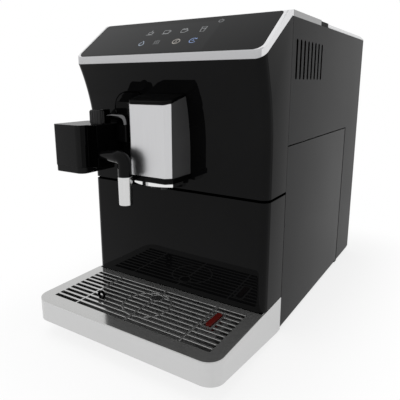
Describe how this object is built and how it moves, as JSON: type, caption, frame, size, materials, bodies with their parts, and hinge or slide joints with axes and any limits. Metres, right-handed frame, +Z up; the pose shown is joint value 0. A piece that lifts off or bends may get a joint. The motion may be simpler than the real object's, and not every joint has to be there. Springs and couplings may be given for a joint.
{
  "type": "coffee machine",
  "caption": "Bean-to-cup coffee machine with a sloping touch panel, height-adjustable spout, clip-on milk frother, sliding drip tray, service door, water tank and bean hopper.",
  "frame": {"origin": "middle of the machine's outline, on the surface that its rubber feet stand on", "axes": "+X to the right as one faces the machine's front, +Y from the drip tray back to the rear cover, +Z up"},
  "size_m": [0.24, 0.4612, 0.3574],
  "materials": {
    "front_black": "glossy",
    "panel_glass": "polished",
    "trim_silver": "satin",
    "side_grey": "fine grain",
    "soft_black": "matte",
    "lid_clear": "satin",
    "tray_silver": "satin",
    "grille_steel": "polished",
    "float_red": "satin",
    "foot_rubber": "matte",
    "base_black": "matte",
    "screw_steel": "plain",
    "socket_black": "matte",
    "spout_silver": "satin",
    "spout_chrome": "polished",
    "nozzle_steel": "satin",
    "tank_clear": "translucent",
    "hopper_smoke": "translucent",
    "inner_grey": "matte",
    "inner_steel": "plain",
    "boiler_metal": "cast",
    "board_green": "satin",
    "burr_steel": "ground"
  },
  "bodies": {
    "body": {"base_pan": "base_black", "rubber_feet": "foot_rubber", "left_side_panel": "side_grey", "right_side_panel": "side_grey", "rear_cover": "soft_black", "cover_screws": "screw_steel", "power_inlet": "socket_black", "switch_housing": "socket_black", "upper_fascia": "front_black", "lower_fascia": "front_black", "panel_trim": "trim_silver", "touch_glass": "panel_glass", "sensor_board": "board_green", "top_deck": "soft_black", "top_frame": "trim_silver", "chassis": "inner_grey", "tank_socket": "inner_grey", "bean_hopper": "hopper_smoke", "grinder_housing": "inner_grey", "grinder_motor": "inner_steel", "grounds_chute": "inner_grey", "boiler": "boiler_metal", "water_pump": "inner_steel", "pump_mounts": "foot_rubber", "power_board": "board_green", "brew_motor": "inner_grey", "grounds_container": "soft_black", "brew_frame": "inner_grey", "brew_cylinder": "inner_grey", "spout_rails": "inner_steel", "steam_port": "front_black"},
    "tray": {"drip_tray": "tray_silver"},
    "grille": {"drip_grille": "grille_steel", "grille_clip": "soft_black"},
    "float": {"water_level_float": "float_red"},
    "door": {"service_door": "side_grey"},
    "rocker": {"power_switch": "socket_black"},
    "bean_cover": {"bean_lid": "lid_clear"},
    "tank": {"water_tank": "tank_clear", "tank_rim": "trim_silver"},
    "tank_cover": {"tank_lid": "lid_clear"},
    "adjuster": {"grind_adjuster": "inner_grey", "upper_burr": "burr_steel"},
    "burr": {"lower_burr": "burr_steel"},
    "piston": {"brew_piston": "inner_grey"},
    "spindle": {"brew_spindle": "inner_steel"},
    "spout": {"spout_carriage": "soft_black", "spout_cover": "spout_silver", "spout_cap": "soft_black", "spout_base": "soft_black", "spout_plate": "spout_chrome", "coffee_nozzles": "soft_black"},
    "frother": {"frother_housing": "front_black", "frother_base": "soft_black", "steam_tube": "nozzle_steel", "steam_plug": "soft_black", "milk_elbow": "front_black", "milk_nozzle": "nozzle_steel"},
    "knob": {"foam_knob": "soft_black"}
  },
  "joints": [
    {"name": "tray_slide", "type": "slide", "parent": "body", "child": "tray", "axis": [0, -1, 0], "range_m": [0, 0.15]},
    {"name": "grille_lift", "type": "slide", "parent": "tray", "child": "grille", "axis": [0, 0, 1], "range_m": [0, 0.05]},
    {"name": "float_rise", "type": "slide", "parent": "tray", "child": "float", "axis": [0, 0, 1], "range_m": [0, 0.006]},
    {"name": "door_hinge", "type": "hinge", "parent": "body", "child": "door", "pos_m": [0.117, 0.1547, 0.1], "axis": [0, 0, 1], "range_deg": [0, 95]},
    {"name": "switch_rock", "type": "hinge", "parent": "body", "child": "rocker", "pos_m": [-0.02, 0.22465, 0.053], "axis": [-1, 0, 0], "range_deg": [0, 14]},
    {"name": "bean_lid_hinge", "type": "hinge", "parent": "body", "child": "bean_cover", "pos_m": [0, 0.00375, 0.3555], "axis": [-1, 0, 0], "range_deg": [0, 95]},
    {"name": "tank_lift", "type": "slide", "parent": "body", "child": "tank", "axis": [0, 0, 1], "range_m": [0, 0.12]},
    {"name": "tank_lid_hinge", "type": "hinge", "parent": "tank", "child": "tank_cover", "pos_m": [0, 0.22235, 0.3555], "axis": [-1, 0, 0], "range_deg": [0, 95]},
    {"name": "grind_adjust", "type": "hinge", "parent": "body", "child": "adjuster", "pos_m": [-0.04, -0.03295, 0.28], "axis": [0, 0, 1], "range_deg": [-60, 60]},
    {"name": "grinder_spin", "type": "hinge", "parent": "body", "child": "burr", "pos_m": [-0.04, -0.03295, 0.26], "axis": [0, 0, 1], "continuous": true},
    {"name": "piston_lift", "type": "slide", "parent": "body", "child": "piston", "axis": [0, 0, 1], "range_m": [0, 0.05]},
    {"name": "spindle_turn", "type": "hinge", "parent": "body", "child": "spindle", "pos_m": [0.061, 0.10105, 0.06], "axis": [0, 0, 1], "range_deg": [0, 1800]},
    {"name": "spout_height", "type": "slide", "parent": "body", "child": "spout", "axis": [0, 0, -1], "range_m": [0, 0.05]},
    {"name": "frother_pull", "type": "slide", "parent": "body", "child": "frother", "axis": [0, -1, 0], "range_m": [0, 0.045]},
    {"name": "foam_knob_turn", "type": "hinge", "parent": "frother", "child": "knob", "pos_m": [-0.0645, -0.17295, 0.25], "axis": [0, 0, 1], "range_deg": [-120, 120]}
  ],
  "couplings": [
    {"joint": "spindle_turn", "follows": "piston_lift", "rad_per_m": 628.32}
  ]
}
